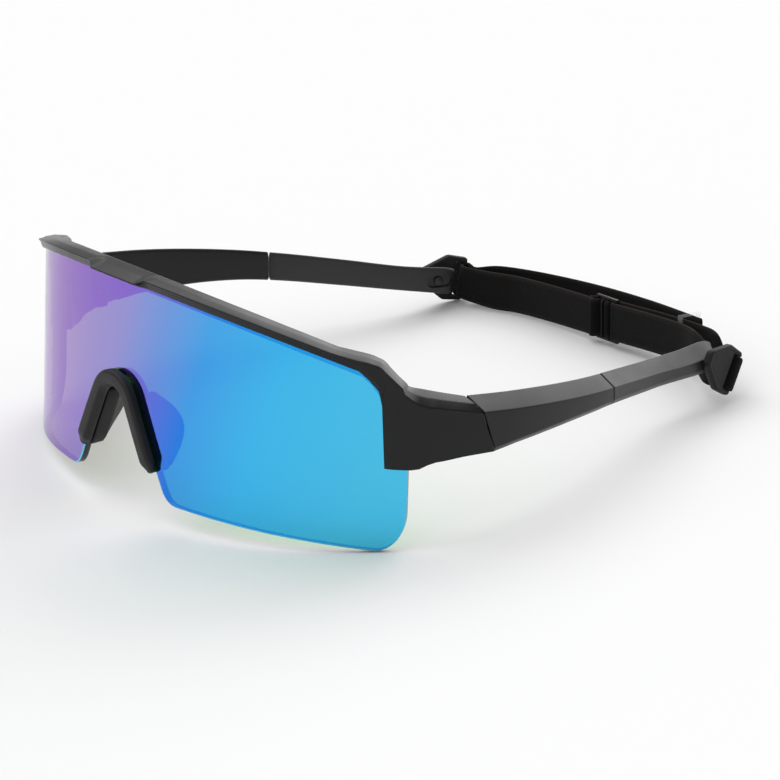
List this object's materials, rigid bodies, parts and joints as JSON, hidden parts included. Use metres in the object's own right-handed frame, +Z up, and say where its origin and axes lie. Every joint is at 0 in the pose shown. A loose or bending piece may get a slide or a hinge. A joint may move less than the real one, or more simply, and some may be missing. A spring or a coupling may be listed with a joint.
{
  "type": "sport sunglasses",
  "caption": "Wraparound sport sunglasses with a mirrored shield lens, clip-on nose bridge, folding short temples and an adjustable elastic head strap.",
  "frame": {"origin": "centre of the footprint's bounding box, on the table that the glasses stand on", "axes": "+X to the wearer's left, +Y from the lens back to the wearer's head, +Z up"},
  "size_m": [0.1548, 0.139, 0.0525],
  "materials": {
    "mirror_blue": "mirror coat, lilac to cyan, slightly see-through",
    "satin_black": "satin moulded black",
    "temple_grey": "satin dark grey, fine grain",
    "grained_black": "fine grained black",
    "soft_rubber": "soft matt dark grey",
    "steel": "turned steel",
    "black_elastic": "woven elastic",
    "clear_plastic": "clear"
  },
  "bodies": {
    "front": {"shield_lens": "mirror_blue", "front_frame": "satin_black", "nose_bridge": "grained_black", "nose_pad_left": "soft_rubber", "nose_pad_right": "soft_rubber", "hinge_insert_left": "steel", "hinge_insert_right": "steel", "hinge_screw_left": "steel", "hinge_screw_right": "steel", "strap_short": "black_elastic", "strap_long": "black_elastic"},
    "temple_left": {"temple_arm_left": "satin_black", "temple_tip_left": "temple_grey", "connector_screw_left": "steel"},
    "connector_left": {"strap_connector_left": "soft_rubber"},
    "temple_right": {"temple_arm_right": "satin_black", "temple_tip_right": "temple_grey", "connector_screw_right": "steel"},
    "connector_right": {"strap_connector_right": "soft_rubber"},
    "slider": {"strap_slider": "satin_black"},
    "keeper": {"tail_keeper": "clear_plastic"}
  },
  "joints": [
    {"name": "temple_left_hinge", "type": "hinge", "parent": "front", "child": "temple_left", "pos_m": [0.0712, -0.02767, 0.02168], "axis": [0, 0.1115, 0.9938], "range_deg": [0, 92], "deforming": ["strap_short"]},
    {"name": "temple_right_hinge", "type": "hinge", "parent": "front", "child": "temple_right", "pos_m": [-0.0712, -0.02767, 0.02168], "axis": [0, -0.1115, -0.9938], "range_deg": [0, 80], "deforming": ["strap_long"]},
    {"name": "connector_left_pivot", "type": "hinge", "parent": "temple_left", "child": "connector_left", "pos_m": [0.05059, 0.05243, 0.01098], "axis": [0.9665, 0.2549, -0.0286], "range_deg": [-23, 40]},
    {"name": "connector_right_pivot", "type": "hinge", "parent": "temple_right", "child": "connector_right", "pos_m": [-0.05059, 0.05201, 0.0072], "axis": [0.9665, -0.2549, 0.0286], "range_deg": [-40, 23]},
    {"name": "slider_slide", "type": "slide", "parent": "front", "child": "slider", "axis": [0.9992, 0.0045, 0.0397], "range_m": [-0.008, 0.008]},
    {"name": "keeper_slide", "type": "slide", "parent": "front", "child": "keeper", "axis": [0.9992, 0.0045, 0.0397], "range_m": [-0.006, 0.0015]}
  ]
}
